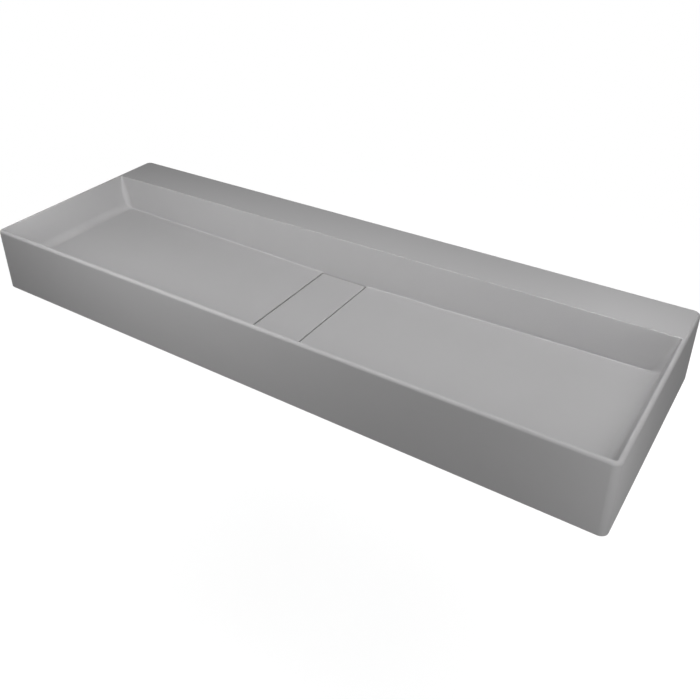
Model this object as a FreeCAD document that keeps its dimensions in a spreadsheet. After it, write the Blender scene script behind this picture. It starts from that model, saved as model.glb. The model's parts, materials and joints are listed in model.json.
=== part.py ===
"""A long wall-hung washbasin of cast mineral, with a lift-off cover over a concealed, always-open waste.

The basin is one casting: a broad rear deck, thin front and end rims, a shallow bowl with drafted walls,
and two floors that fall from the ends to a covered sump. The underside is hollow. Below the cover a
strainer, drawn down by one screw, clamps the waste tail to the sump floor.

Frame: origin midway between the two wall fixing holes on the back face, +X along the wall,
+Y into the wall and +Z up.
"""
import FreeCAD, Part
import os
import re
import Sketcher

# Millimetres, with drafts in degrees and counts as plain numbers
SIZES = {
    # Outside of the casting
    "basin_width": 1200,
    "basin_depth": 415,
    "basin_height": 125,
    "rim_above_fixings": 50,
    "plan_corner_radius": 12,
    "foot_edge_chamfer": 2,
    # Bowl
    "rim_thickness": 7,
    "rim_outer_share": 0.6,
    "rim_inner_share": 0.25,
    "deck_depth": 94,
    "bowl_depth": 78,
    "floor_fall": 10,
    "end_wall_draft": 15,
    "long_wall_draft": 7,
    "end_cove_radius": 16,
    "long_cove_radius": 3,
    "valley_radius": 2000,
    # Hollow underside
    "skirt_thickness": 12,
    "deck_thickness": 12,
    "bowl_wall_thickness": 12,
    "floor_thickness": 12,
    "rib_thickness": 10,
    "rib_drop": 45,
    "rib_end_inset": 78,
    "rib_count": 4,
    # Wall fixings
    "fixing_spacing": 700,
    "fixing_boss_diameter": 44,
    "fixing_boss_height": 8,
    "bush_bore": 10.5,
    "bush_wall": 2.75,
    "bush_flange_diameter": 28,
    "bush_flange_thickness": 3,
    # Recess, ledges and sump under the cover
    "recess_width": 100,
    "recess_corner_radius": 4,
    "ledge_width": 13,
    "sump_depth": 10,
    "sump_corner_radius": 14,
    "sump_wall": 10,
    "sump_floor_thickness": 12,
    # Cover and its bumpers
    "cover_side_gap": 3,
    "cover_end_gap": 1.5,
    "cover_thickness": 10,
    "cover_edge_chamfer": 0.8,
    "bumper_width": 9,
    "bumper_length": 18,
    "bumper_height": 2,
    "bumper_end_inset": 16,
    # Waste
    "waste_hole_diameter": 50,
    "strainer_diameter": 68,
    "strainer_sheet": 1.5,
    "strainer_cup_depth": 5,
    "strainer_cup_diameter": 42,
    "strainer_hole_diameter": 8,
    "strainer_hole_circle": 28,
    "strainer_hole_count": 6,
    "strainer_seal_thickness": 2,
    "seat_clearance": 1.5,
    "body_seal_thickness": 3,
    "collar_diameter": 64,
    "collar_thickness": 5,
    "tail_diameter": 41.9,
    "tail_bore": 36,
    "tail_length": 50,
    "tail_chamfer": 1,
    "bridge_width": 14,
    "bridge_height": 12,
    "insert_diameter": 9,
    "screw_diameter": 6,
    "screw_head_diameter": 11,
    "screw_head_height": 3,
    "screw_slot_width": 1.6,
    "screw_slot_depth": 1.5,
    # Clearances and the length by which a cut runs past what it cuts
    "hole_clearance": 0.2,
    "overrun": 5,
}
# Two points nearer than this are the same place
SAME_PLACE = 0.001

doc = FreeCAD.newDocument("washbasin")
sheet = doc.addObject("Spreadsheet::Sheet", "sizes")
for row, (alias, number) in enumerate(SIZES.items(), start=1):
    sheet.set(f"A{row}", alias)
    sheet.set(f"B{row}", str(number))
    sheet.setAlias(f"B{row}", alias)
doc.recompute()


def tied(words):
    """Turn a sum written with size names into one that reads the sheet."""
    return re.sub(r"[a-z_]+", lambda name: f"sizes.{name[0]}" if name[0] in SIZES else name[0], words)


def value(words):
    """Work out such a sum as a number."""
    return float(sheet.evalExpression(tied(words)))


# Levels, measured up from the wall fixings
RIM = "rim_above_fixings"
FOOT = "(rim_above_fixings - basin_height)"
VALLEY = "(rim_above_fixings - bowl_depth)"
DECK_UNDERSIDE = "(rim_above_fixings - deck_thickness)"

# The end walls reach the floor this far out from the middle, where the floor is this deep
END_DEPTH = "(bowl_depth - floor_fall)"
FLOOR_REACH = f"(basin_width / 2 - rim_thickness - {END_DEPTH} * tan(end_wall_draft))"
FLOOR_SLOPE = f"(floor_fall / {FLOOR_REACH})"

# The cover lies flush with the floor at the recess's long edges
COVER_TOP = f"({VALLEY} + {FLOOR_SLOPE} * recess_width / 2)"
COVER_UNDERSIDE = f"({COVER_TOP} - cover_thickness)"
LEDGE = f"({COVER_UNDERSIDE} - bumper_height)"
SUMP_FLOOR = f"({LEDGE} - sump_depth)"
SUMP_UNDERSIDE = f"({SUMP_FLOOR} - sump_floor_thickness)"


def rear_wall(depth):
    """Y of the bowl's rear wall at a depth below the rim."""
    return f"(-deck_depth - ({depth}) * tan(long_wall_draft))"


def front_wall(depth):
    """Y of the bowl's front wall at a depth below the rim."""
    return f"(rim_thickness - basin_depth + ({depth}) * tan(long_wall_draft))"


# The recess runs from the foot of one long wall to that of the other, with the waste at its middle
RECESS_REAR = rear_wall("bowl_depth")
RECESS_FRONT = front_wall("bowl_depth")
WASTE_Y = f"(({RECESS_REAR} + {RECESS_FRONT}) / 2)"

# Depths below the sump floor of the waste tail's collar and of its thread, where the bridge stands too
COLLAR_TOP = "(sump_floor_thickness + body_seal_thickness)"
TAIL_TOP = f"({COLLAR_TOP} + collar_thickness)"


def new_body(label, y="0", z="0"):
    """Start a sub-part whose own origin stands at a place in the middle plane."""
    body = doc.addObject("PartDesign::Body", label)
    body.Label = label
    body.AllowCompound = True
    body.setExpression(".Placement.Base.y", tied(y))
    body.setExpression(".Placement.Base.z", tied(z))
    return body


def new_sketch(body, name, plane, offset="0"):
    """Start a sketch on one of a body's origin planes, moved along the plane's normal."""
    sketch = body.newObject("Sketcher::SketchObject", name)
    support = next(f for f in body.Origin.OriginFeatures if f.Role == plane)
    sketch.AttachmentSupport = [(support, "")]
    sketch.MapMode = "FlatFace"
    sketch.setExpression("AttachmentOffset.Base.z", tied(offset))
    return sketch


def spot(place):
    """Turn a pair of named distances into a point of a sketch."""
    return FreeCAD.Vector(value(place[0]), value(place[1]), 0)


def hold(sketch, kind, geometry, point, words):
    """Keep a sketch point at a named distance, across or along, from the sketch's origin."""
    index = sketch.addConstraint(Sketcher.Constraint(kind, -1, 1, geometry, point, value(words)))
    sketch.setExpression(f"Constraints[{index}]", tied(words))


def pin_down(sketch, geometry, point, place):
    """Keep a sketch point at its place in both directions."""
    hold(sketch, "DistanceX", geometry, point, place[0])
    hold(sketch, "DistanceY", geometry, point, place[1])


def add_lines(sketch, corners):
    """Draw straight lines from corner to corner, and give the numbers of the first and last."""
    first = sketch.GeometryCount
    for start, end in zip(corners, corners[1:]):
        line = sketch.addGeometry(Part.LineSegment(spot(start), spot(end)))
        pin_down(sketch, line, 1, start)
        if line > first:
            sketch.addConstraint(Sketcher.Constraint("Coincident", line - 1, 2, line, 1))
    return first, line


def add_polygon(sketch, corners):
    """Draw a closed outline of straight lines."""
    first, last = add_lines(sketch, corners + corners[:1])
    sketch.addConstraint(Sketcher.Constraint("Coincident", last, 2, first, 1))


def add_polygon_with_arc(sketch, corners, centre):
    """Draw a closed outline whose last side, back to the first corner, is an arc below its centre."""
    first, last = add_lines(sketch, corners)
    pin_down(sketch, last, 2, corners[-1])
    middle = spot(centre)
    circle = Part.Circle(middle, FreeCAD.Vector(0, 0, 1), (spot(corners[0]) - middle).Length)
    ends = [circle.parameter(spot(corner)) for corner in (corners[-1], corners[0])]
    arc = sketch.addGeometry(Part.ArcOfCircle(circle, *ends))
    sketch.addConstraint(Sketcher.Constraint("Coincident", last, 2, arc, 1))
    sketch.addConstraint(Sketcher.Constraint("Coincident", arc, 2, first, 1))
    hold(sketch, "DistanceY", arc, 3, centre[1])


def add_rectangle(sketch, left, right, low, high):
    """Draw a rectangle between two pairs of distances."""
    add_polygon(sketch, [(left, low), (right, low), (right, high), (left, high)])


def add_circle(sketch, across, along, diameter):
    """Draw a circle of a named diameter about a held centre."""
    centre = (across, along)
    circle = sketch.addGeometry(Part.Circle(spot(centre), FreeCAD.Vector(0, 0, 1), value(diameter) / 2))
    pin_down(sketch, circle, 3, centre)
    index = sketch.addConstraint(Sketcher.Constraint("Diameter", circle, value(diameter)))
    sketch.setExpression(f"Constraints[{index}]", tied(diameter))


def swept(kind, body, sketch, length, side, backwards):
    """Pad or pocket a sketch and make sure that the body's volume changed."""
    before = 0 if body.Shape.isNull() else body.Shape.Volume
    feature = body.newObject(f"PartDesign::{kind}", f"{sketch.Name}_{kind.lower()}")
    feature.Profile = sketch
    feature.setExpression("Length", tied(length))
    feature.SideType = side
    feature.Reversed = backwards
    doc.recompute()
    if abs(body.Shape.Volume - before) < SAME_PLACE:
        raise RuntimeError(f"{feature.Name} changes nothing")
    return feature


def pad(body, sketch, length, side="One side", backwards=False):
    """Add material along the sketch's normal."""
    return swept("Pad", body, sketch, length, side, backwards)


def pocket(body, sketch, length, side="One side", backwards=False):
    """Take material away against the sketch's normal."""
    return swept("Pocket", body, sketch, length, side, backwards)


def revolve(body, sketch):
    """Turn a half profile about the body's own upright axis."""
    feature = body.newObject("PartDesign::Revolution", f"{sketch.Name}_revolution")
    feature.Profile = sketch
    feature.ReferenceAxis = (sketch, ["V_Axis"])
    doc.recompute()
    return feature


def points_along(edge):
    """Give the ends of an edge and places between them."""
    return edge.discretize(Number=5)


def is_upright(edge):
    """Say whether an edge runs straight up."""
    start, *_, end = points_along(edge)
    return (end - start).cross(FreeCAD.Vector(0, 0, 1)).Length < SAME_PLACE


def is_level(edge, height):
    """Say whether an edge lies all at one height."""
    return all(abs(point.z - height) < SAME_PLACE for point in points_along(edge))


def edges_where(feature, wanted):
    """Name the edges of a feature that pass a test."""
    return [f"Edge{index}" for index, edge in enumerate(feature.Shape.Edges, start=1) if wanted(edge)]


def flat_face_at(feature, height):
    """Find the largest face that lies level at a height."""
    level = [face for face in feature.Shape.Faces if all(is_level(edge, height) for edge in face.Edges)]
    return max(level, key=lambda face: face.Area)


def dressed(kind, size_name, body, feature, name, edge_names, size):
    """Dress the named edges of a body's last feature."""
    edges = body.newObject(f"PartDesign::{kind}", name)
    edges.Base = (feature, edge_names)
    edges.setExpression(size_name, tied(size))
    doc.recompute()
    return edges


def fillet(body, feature, name, edge_names, radius):
    """Round the named edges of a body's last feature."""
    return dressed("Fillet", "Radius", body, feature, name, edge_names, radius)


def chamfer(body, feature, name, edge_names, size):
    """Bevel the named edges of a body's last feature."""
    return dressed("Chamfer", "Size", body, feature, name, edge_names, size)


def make_bowl_core():
    """The mould core of the bowl: sloping floors, coved ends and drafted long walls."""
    core = new_body("bowl_core")
    mouth_reach = "(basin_width / 2 - rim_thickness + overrun * tan(end_wall_draft))"
    mouth = f"({RIM} + overrun)"
    end_foot = f"({RIM} - {END_DEPTH})"
    valley_half = f"(valley_radius * sin(atan({FLOOR_SLOPE})))"
    valley_edge = f"({VALLEY} + {valley_half} * {FLOOR_SLOPE})"
    valley_centre = f"({valley_edge} + valley_radius * cos(atan({FLOOR_SLOPE})))"
    profile = new_sketch(core, "bowl_length", "XZ_Plane")
    add_polygon_with_arc(profile, [
        (valley_half, valley_edge),
        (FLOOR_REACH, end_foot),
        (mouth_reach, mouth),
        (f"-{mouth_reach}", mouth),
        (f"-{FLOOR_REACH}", end_foot),
        (f"-{valley_half}", valley_edge),
    ], ("0", valley_centre))
    length = pad(core, profile, "basin_depth")
    foot_height = value(end_foot)
    end_feet = edges_where(length, lambda edge: is_level(edge, foot_height))
    fillet(core, length, "end_coves", end_feet, "end_cove_radius")

    below = "(bowl_depth + overrun)"
    walls = new_sketch(core, "long_walls", "YZ_Plane")
    for wall, beyond in ((rear_wall, "overrun"), (front_wall, "(-basin_depth - overrun)")):
        add_polygon(walls, [
            (wall("-overrun"), mouth),
            (wall(below), f"({RIM} - {below})"),
            (beyond, f"({RIM} - {below})"),
            (beyond, mouth),
        ])
    trimmed = pocket(core, walls, "2 * basin_width", side="Symmetric")

    lean = FreeCAD.Vector(0, value("cos(long_wall_draft)"), value("sin(long_wall_draft)"))
    rear = FreeCAD.Vector(0, value(rear_wall("0")), value(RIM))
    front = FreeCAD.Vector(0, value(front_wall("0")), value(RIM))
    mouth_height = value(mouth)

    def in_long_wall(edge):
        """Say whether an edge below the mouth lies in the rear or the front wall."""
        if is_level(edge, mouth_height):
            return False
        along = points_along(edge)
        in_rear = all(abs((p - rear).dot(FreeCAD.Vector(0, lean.y, -lean.z))) < SAME_PLACE for p in along)
        in_front = all(abs((p - front).dot(lean)) < SAME_PLACE for p in along)
        return in_rear or in_front

    fillet(core, trimmed, "long_coves", edges_where(trimmed, in_long_wall), "long_cove_radius")
    return core


def hollow_underside(body):
    """Open the casting from below, and leave the sump, ribs and fixing bosses standing."""
    inner_half = "(basin_width / 2 - skirt_thickness)"
    below = f"({FOOT} - overrun)"
    under_valley = f"({VALLEY} - floor_thickness)"
    under_end = f"({under_valley} + {FLOOR_SLOPE} * {inner_half})"
    under_floor = new_sketch(body, "under_floor", "XZ_Plane", "skirt_thickness")
    add_polygon(under_floor, [
        (f"-{inner_half}", below),
        (inner_half, below),
        (inner_half, under_end),
        ("0", under_valley),
        (f"-{inner_half}", under_end),
    ])
    pocket(body, under_floor, "basin_depth - 2 * skirt_thickness", backwards=True)

    deepest = "(basin_height + overrun)"
    under_deck = new_sketch(body, "under_deck", "YZ_Plane")
    add_polygon(under_deck, [
        ("-skirt_thickness", below),
        ("-skirt_thickness", DECK_UNDERSIDE),
        (f"{rear_wall('deck_thickness')} + bowl_wall_thickness", DECK_UNDERSIDE),
        (f"{rear_wall(deepest)} + bowl_wall_thickness", below),
    ])
    pocket(body, under_deck, f"2 * {inner_half}", side="Symmetric")

    sump_half = "(recess_width / 2 + sump_wall)"
    sump = new_sketch(body, "sump_block", "XY_Plane", SUMP_UNDERSIDE)
    sump_front = f"{RECESS_FRONT} - sump_wall"
    sump_rear = f"{RECESS_REAR} + sump_wall"
    add_rectangle(sump, f"-{sump_half}", sump_half, sump_front, sump_rear)
    pad(body, sump, f"{VALLEY} - {SUMP_UNDERSIDE}")

    rib_foot = "(deck_thickness + rib_drop)"
    rib_span = f"(2 * ({inner_half} - rib_end_inset))"
    rib = new_sketch(body, "rib", "YZ_Plane", f"-{rib_span} / 2")
    add_polygon(rib, [
        ("-skirt_thickness / 2", f"({RIM} - {rib_foot})"),
        ("-skirt_thickness / 2", f"({RIM} - deck_thickness / 2)"),
        (f"{rear_wall('deck_thickness / 2')} + bowl_wall_thickness / 2", f"({RIM} - deck_thickness / 2)"),
        (f"{rear_wall(rib_foot)} + bowl_wall_thickness / 2", f"({RIM} - {rib_foot})"),
    ])
    one_rib = pad(body, rib, "rib_thickness", side="Symmetric")
    ribs = body.newObject("PartDesign::LinearPattern", "ribs")
    ribs.Originals = [one_rib]
    ribs.Direction = (rib, ["N_Axis"])
    ribs.setExpression("Length", tied(rib_span))
    ribs.setExpression("Occurrences", tied("rib_count"))
    body.Tip = ribs
    doc.recompute()

    bosses = new_sketch(body, "fixing_bosses", "XZ_Plane", "skirt_thickness / 2")
    for side in ("-", ""):
        add_circle(bosses, f"{side}fixing_spacing / 2", "0", "fixing_boss_diameter")
    pad(body, bosses, "skirt_thickness / 2 + fixing_boss_height")


def cut_recess(body):
    """Sink the cover's recess, the sump below its ledges, the strainer's seat and the waste hole."""
    half = "recess_width / 2"
    recess = new_sketch(body, "recess", "XY_Plane", RIM)
    add_rectangle(recess, f"-{half}", half, RECESS_FRONT, RECESS_REAR)
    cut = pocket(body, recess, f"{RIM} - {LEDGE}")
    corner_x = value(half)

    def recess_corner(edge):
        """Say whether an upright edge stands at a corner of the recess."""
        return is_upright(edge) and abs(abs(edge.CenterOfMass.x) - corner_x) < SAME_PLACE

    fillet(body, cut, "recess_corners", edges_where(cut, recess_corner), "recess_corner_radius")

    inner = "(recess_width / 2 - ledge_width)"
    sump = new_sketch(body, "sump", "XY_Plane", LEDGE)
    add_rectangle(sump, f"-{inner}", inner, f"{RECESS_FRONT} + ledge_width", f"{RECESS_REAR} - ledge_width")
    cut = pocket(body, sump, "sump_depth")
    inner_x = value(inner)

    def sump_corner(edge):
        """Say whether an upright edge stands at a corner of the sump."""
        return is_upright(edge) and abs(abs(edge.CenterOfMass.x) - inner_x) < SAME_PLACE

    fillet(body, cut, "sump_corners", edges_where(cut, sump_corner), "sump_corner_radius")

    seat = new_sketch(body, "strainer_seat", "XY_Plane", SUMP_FLOOR)
    add_circle(seat, "0", WASTE_Y, "strainer_diameter + 2 * seat_clearance")
    pocket(body, seat, "strainer_sheet + strainer_seal_thickness")
    hole = new_sketch(body, "waste_hole", "XY_Plane", SUMP_FLOOR)
    add_circle(hole, "0", WASTE_Y, "waste_hole_diameter")
    pocket(body, hole, "sump_floor_thickness + overrun")


def make_basin_body():
    """The casting: block, hollow underside, bowl, rounded rims, recess and wall fixing holes."""
    core = make_bowl_core()
    body = new_body("basin_body")
    plan = new_sketch(body, "plan", "XY_Plane", FOOT)
    add_rectangle(plan, "-basin_width / 2", "basin_width / 2", "-basin_depth", "0")
    block = pad(body, plan, "basin_height")
    fillet(body, block, "plan_corners", edges_where(block, is_upright), "plan_corner_radius")
    hollow_underside(body)

    bowl = body.newObject("PartDesign::Boolean", "bowl")
    bowl.Type = "Cut"
    bowl.setObjects([core])
    doc.recompute()
    rim = flat_face_at(bowl, value(RIM))
    outer = edges_where(bowl, lambda edge: any(edge.isSame(e) for e in rim.OuterWire.Edges))
    outer_round = fillet(body, bowl, "rim_outer_edge", outer, "rim_thickness * rim_outer_share")
    rim = flat_face_at(outer_round, value(RIM))
    rim_edges = [e for e in rim.Edges if not any(e.isSame(o) for o in rim.OuterWire.Edges)]
    inner = edges_where(outer_round, lambda edge: any(edge.isSame(e) for e in rim_edges))
    inner_round = fillet(body, outer_round, "rim_inner_edge", inner, "rim_thickness * rim_inner_share")
    foot = flat_face_at(inner_round, value(FOOT))
    foot_edges = edges_where(inner_round, lambda edge: any(edge.isSame(e) for e in foot.OuterWire.Edges))
    chamfer(body, inner_round, "foot_edge", foot_edges, "foot_edge_chamfer")

    cut_recess(body)
    holes = new_sketch(body, "fixing_holes", "XZ_Plane")
    for side in ("-", ""):
        add_circle(holes, f"{side}fixing_spacing / 2", "0", "bush_bore + 2 * bush_wall + 2 * hole_clearance")
    pocket(body, holes, "skirt_thickness + fixing_boss_height + overrun", backwards=True)
    return body


def make_fixing_bushes():
    """Flanged sleeves that line the wall fixing holes, seated on the bosses inside the deck."""
    body = new_body("fixing_bushes")
    sleeves = new_sketch(body, "sleeves", "XZ_Plane")
    flanges = new_sketch(body, "flanges", "XZ_Plane", "skirt_thickness + fixing_boss_height")
    for side in ("-", ""):
        for sketch, outside in ((sleeves, "bush_bore + 2 * bush_wall"), (flanges, "bush_flange_diameter")):
            add_circle(sketch, f"{side}fixing_spacing / 2", "0", outside)
            add_circle(sketch, f"{side}fixing_spacing / 2", "0", "bush_bore")
    pad(body, sleeves, "skirt_thickness + fixing_boss_height")
    pad(body, flanges, "bush_flange_thickness")
    return body


def make_drain_cover():
    """The flat slab that hides the sump, with gaps for the water and bevelled edges."""
    body = new_body("drain_cover", z=COVER_UNDERSIDE)
    half = "(recess_width / 2 - cover_side_gap)"
    plan = new_sketch(body, "cover_plan", "XY_Plane")
    front = f"{RECESS_FRONT} + cover_end_gap"
    rear = f"{RECESS_REAR} - cover_end_gap"
    add_rectangle(plan, f"-{half}", half, front, rear)
    slab = pad(body, plan, "cover_thickness")
    corners = fillet(body, slab, "cover_corners", edges_where(slab, is_upright), "recess_corner_radius / 2")
    top = edges_where(corners, lambda edge: is_level(edge, value("cover_thickness")))
    chamfer(body, corners, "cover_edge", top, "cover_edge_chamfer")
    return body


def make_cover_bumpers():
    """Four soft bumpers under the cover's edges, resting on the ledges with room for water between them."""
    body = new_body("cover_bumpers", z=LEDGE)
    plan = new_sketch(body, "bumper_plan", "XY_Plane")
    middle = "(recess_width - ledge_width - cover_side_gap) / 2"
    outside = f"({middle} + bumper_width / 2)"
    inside = f"({middle} - bumper_width / 2)"
    reach = "(bumper_end_inset + bumper_length)"
    for near, far in ((inside, outside), (f"-{outside}", f"-{inside}")):
        add_rectangle(plan, near, far, f"{RECESS_FRONT} + bumper_end_inset", f"{RECESS_FRONT} + {reach}")
        add_rectangle(plan, near, far, f"{RECESS_REAR} - {reach}", f"{RECESS_REAR} - bumper_end_inset")
    pad(body, plan, "bumper_height")
    return body


def make_waste_strainer():
    """A dished strainer, flush with the sump floor, with a ring of drain holes."""
    body = new_body("waste_strainer", WASTE_Y, SUMP_FLOOR)
    profile = new_sketch(body, "strainer_profile", "XZ_Plane")
    screw_hole = "(screw_diameter / 2 + hole_clearance)"
    add_polygon(profile, [
        (screw_hole, "-strainer_cup_depth"),
        ("strainer_cup_diameter / 2", "-strainer_cup_depth"),
        ("strainer_cup_diameter / 2", "0"),
        ("strainer_diameter / 2", "0"),
        ("strainer_diameter / 2", "-strainer_sheet"),
        ("strainer_cup_diameter / 2 + strainer_sheet", "-strainer_sheet"),
        ("strainer_cup_diameter / 2 + strainer_sheet", "-strainer_cup_depth - strainer_sheet"),
        (screw_hole, "-strainer_cup_depth - strainer_sheet"),
    ])
    revolve(body, profile)
    hole = new_sketch(body, "strainer_hole", "XY_Plane")
    add_circle(hole, "strainer_hole_circle / 2", "0", "strainer_hole_diameter")
    one_hole = pocket(body, hole, "strainer_cup_depth + strainer_sheet + overrun")
    holes = body.newObject("PartDesign::PolarPattern", "strainer_holes")
    holes.Originals = [one_hole]
    holes.Axis = (hole, ["N_Axis"])
    holes.setExpression("Occurrences", tied("strainer_hole_count"))
    body.Tip = holes
    doc.recompute()
    return body


def make_strainer_screw():
    """The slotted cheese-head screw that draws the strainer and the waste tail together."""
    body = new_body("strainer_screw", WASTE_Y, f"{SUMP_FLOOR} - strainer_cup_depth")
    head = new_sketch(body, "screw_head", "XY_Plane")
    add_circle(head, "0", "0", "screw_head_diameter")
    pad(body, head, "screw_head_height")
    shank = new_sketch(body, "screw_shank", "XY_Plane")
    add_circle(shank, "0", "0", "screw_diameter")
    pad(body, shank, f"{TAIL_TOP} + bridge_height - strainer_cup_depth", backwards=True)
    slot = new_sketch(body, "screw_slot", "XY_Plane", "screw_head_height")
    half = "screw_head_diameter / 2 + overrun"
    add_rectangle(slot, f"-({half})", half, "-screw_slot_width / 2", "screw_slot_width / 2")
    pocket(body, slot, "screw_slot_depth")
    return body


def make_ring(label, inside, outside, thickness, z):
    """A flat ring about the waste's axis, standing on a level."""
    body = new_body(label, WASTE_Y, z)
    plan = new_sketch(body, f"{label}_plan", "XY_Plane")
    add_circle(plan, "0", "0", outside)
    add_circle(plan, "0", "0", inside)
    pad(body, plan, thickness)
    return body


def make_waste_body():
    """The waste tail: a collar with a funnel mouth, a threaded tail and a bridge across its bore."""
    body = new_body("waste_body", WASTE_Y, SUMP_FLOOR)
    profile = new_sketch(body, "tail_profile", "XZ_Plane")
    tail_end = f"({TAIL_TOP} + tail_length)"
    add_polygon(profile, [
        ("waste_hole_diameter / 2", f"-{COLLAR_TOP}"),
        ("collar_diameter / 2", f"-{COLLAR_TOP}"),
        ("collar_diameter / 2", f"-{TAIL_TOP}"),
        ("tail_diameter / 2", f"-{TAIL_TOP}"),
        ("tail_diameter / 2", f"tail_chamfer - {tail_end}"),
        ("tail_diameter / 2 - tail_chamfer", f"-{tail_end}"),
        ("tail_bore / 2", f"-{tail_end}"),
        ("tail_bore / 2", f"-{TAIL_TOP}"),
    ])
    revolve(body, profile)
    half = "(tail_bore + tail_diameter) / 4"
    bridge = new_sketch(body, "bridge", "XY_Plane", f"-{TAIL_TOP}")
    add_rectangle(bridge, f"-{half}", half, "-bridge_width / 2", "bridge_width / 2")
    pad(body, bridge, "bridge_height", backwards=True)
    hole = new_sketch(body, "insert_hole", "XY_Plane", f"-{TAIL_TOP}")
    add_circle(hole, "0", "0", "insert_diameter + 2 * hole_clearance")
    pocket(body, hole, "bridge_height + overrun")
    return body


def write_parts(sub_parts):
    """Stop on any failed object, then write each sub-part to its own file."""
    doc.recompute()
    failed = [o.Name for o in doc.Objects if {"Invalid", "Error"} & set(o.State)]
    if failed:
        raise RuntimeError(f"failed: {failed}")
    os.makedirs("parts", exist_ok=True)
    for part in sub_parts:
        if part.Shape.isNull() or not part.Shape.isValid():
            raise RuntimeError(f"{part.Label} has no valid shape")
        part.Shape.exportStep(f"parts/{part.Label}.step")
        box = part.Shape.BoundBox
        print(f"{part.Label}: {len(part.Shape.Solids)} solids, {part.Shape.Volume / 1000:.1f} cm3, "
              f"{box.XLength:.1f} x {box.YLength:.1f} x {box.ZLength:.1f} mm")


write_parts([
    make_basin_body(),
    make_fixing_bushes(),
    make_drain_cover(),
    make_cover_bumpers(),
    make_waste_strainer(),
    make_strainer_screw(),
    make_ring("strainer_seal", "waste_hole_diameter", "strainer_diameter", "strainer_seal_thickness",
              f"{SUMP_FLOOR} - strainer_sheet - strainer_seal_thickness"),
    make_ring("body_seal", "waste_hole_diameter", "collar_diameter", "body_seal_thickness",
              f"{SUMP_UNDERSIDE} - body_seal_thickness"),
    make_waste_body(),
    make_ring("screw_insert", "screw_diameter + hole_clearance", "insert_diameter", "bridge_height",
              f"{SUMP_FLOOR} - {TAIL_TOP} - bridge_height"),
])
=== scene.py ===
# %% [markdown]
# # A long washbasin with a concealed drain
# The basin is one grey mineral casting with a flat cover over its drain, and it hangs on a wall.
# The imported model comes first, because every piece below is set against its levels, in metres:
# x runs along the wall, y into the wall and z up, from the middle of the two wall fixings.

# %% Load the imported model
import bmesh
import bpy
import json
import math
from mathutils import Matrix, Vector


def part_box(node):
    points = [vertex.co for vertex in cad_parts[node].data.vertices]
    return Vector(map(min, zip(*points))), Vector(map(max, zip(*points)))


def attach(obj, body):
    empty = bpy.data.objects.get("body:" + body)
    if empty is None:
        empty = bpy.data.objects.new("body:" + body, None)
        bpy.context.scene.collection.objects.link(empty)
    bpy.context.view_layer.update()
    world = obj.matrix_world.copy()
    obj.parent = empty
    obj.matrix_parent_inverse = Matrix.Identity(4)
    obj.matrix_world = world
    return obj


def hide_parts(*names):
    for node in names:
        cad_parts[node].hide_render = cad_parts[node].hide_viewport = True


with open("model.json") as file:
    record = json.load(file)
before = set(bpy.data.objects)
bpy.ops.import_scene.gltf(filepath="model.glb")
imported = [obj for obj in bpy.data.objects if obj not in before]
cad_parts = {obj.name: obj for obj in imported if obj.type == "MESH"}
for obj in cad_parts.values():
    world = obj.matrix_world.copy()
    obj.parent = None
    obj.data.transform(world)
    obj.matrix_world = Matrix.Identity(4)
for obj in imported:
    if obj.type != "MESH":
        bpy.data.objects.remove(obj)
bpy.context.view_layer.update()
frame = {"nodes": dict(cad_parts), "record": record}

MM = 0.001
NEAR = 0.01 * MM
scene = bpy.context.scene
scene.view_settings.view_transform = "Standard"
print("nodes:", sorted(frame["nodes"]))

# %% [markdown]
# ## Camera
# The view is from the right and thirty degrees above, with the camera tilted by a degree and a half.
# A camera can be turned by angles, but with a tilt it is plainer to build its three directions
# and hand them over as a matrix. The shift moves the picture and leaves the perspective alone.

# %% Set up the camera
EYE = Vector((0.733, -1.226, 0.7485))
AZIMUTH = math.radians(35.32)
ELEVATION = math.radians(30.11)
TILT = math.radians(-1.51)
LENS = 42.2
SHIFT = (0.0462, -0.0989)

level = math.cos(ELEVATION)
ahead = Vector((-math.sin(AZIMUTH) * level, math.cos(AZIMUTH) * level, -math.sin(ELEVATION)))
flat_right = ahead.cross(Vector((0, 0, 1))).normalized()
flat_up = flat_right.cross(ahead)
right = math.cos(TILT) * flat_right + math.sin(TILT) * flat_up
up = math.cos(TILT) * flat_up - math.sin(TILT) * flat_right
bpy.ops.object.camera_add()
camera = bpy.context.object
camera.name = "photo_camera"
turn = Matrix((right, up, -ahead)).transposed().to_4x4()
camera.matrix_world = Matrix.Translation(EYE) @ turn
camera.data.lens = LENS
camera.data.shift_x, camera.data.shift_y = SHIFT
scene.camera = camera
print("camera looks along", [round(part, 3) for part in ahead])

# %% [markdown]
# ## Floor and background
# The basin hangs with its rim 0.9 m above a plain white floor. To the camera, and in reflections,
# the floor is white light of strength 1 far off and partly a lit surface close by, which keeps the
# basin's soft shadow. To the basin it is a dull grey, so that little light comes up from below.
# The world is white to the camera too, and lights the basin only dimly.

# %% Helpers that mix by the kind of ray
def seen_directly(nodes, links):
    """Join the light path's camera, glossy and transmission rays into one mask."""
    path = nodes.new("ShaderNodeLightPath")
    mask = path.outputs["Is Camera Ray"]
    for ray in ("Is Glossy Ray", "Is Transmission Ray"):
        wider = nodes.new("ShaderNodeMath")
        wider.operation = "MAXIMUM"
        links.new(mask, wider.inputs[0])
        links.new(path.outputs[ray], wider.inputs[1])
        mask = wider.outputs[0]
    return mask


def mix_shaders(nodes, links, mask, one, other):
    """Go from one shader to another by a mask."""
    mix = nodes.new("ShaderNodeMixShader")
    links.new(mask, mix.inputs["Fac"])
    links.new(one, mix.inputs[1])
    links.new(other, mix.inputs[2])
    return mix.outputs[0]


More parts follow.
